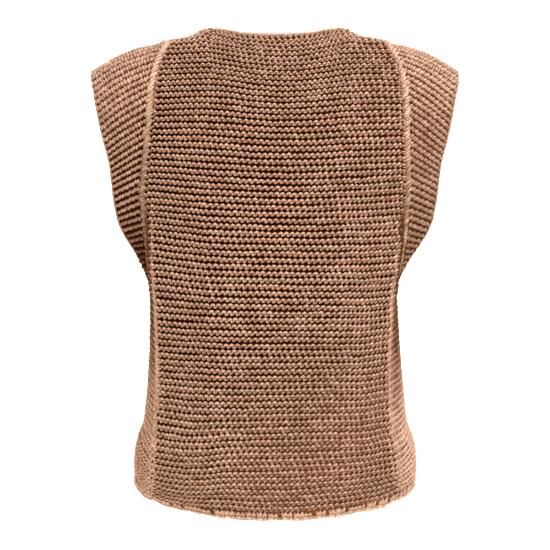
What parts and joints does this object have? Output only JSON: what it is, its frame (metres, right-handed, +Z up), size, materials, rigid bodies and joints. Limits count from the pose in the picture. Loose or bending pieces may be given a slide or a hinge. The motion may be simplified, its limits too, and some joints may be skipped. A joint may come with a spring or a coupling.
{
  "type": "knitted sweater vest",
  "caption": "Hollow, worn-shape knitted vest in chunky garter stitch, with a round neck, wide shoulder caps and raised armhole seams.",
  "frame": {"origin": "middle of the neck, level with the outer ends of the shoulder seams, where the wearer's shoulders carry the vest", "axes": "+Z up, from the hem to the neck; the front faces -Y and the back +Y; the wearer's left is +X"},
  "size_m": [0.4358, 0.2487, 0.5735],
  "materials": {
    "knit": "matt chunky wool-look yarn, garter stitch",
    "seam": "the same yarn, picked up and sewn in a raised roll"
  },
  "bodies": {
    "root": {"back": "knit", "front": "knit", "cap_left": "knit", "cap_right": "knit", "armhole_seam_left": "seam", "armhole_seam_right": "seam"}
  },
  "joints": []
}
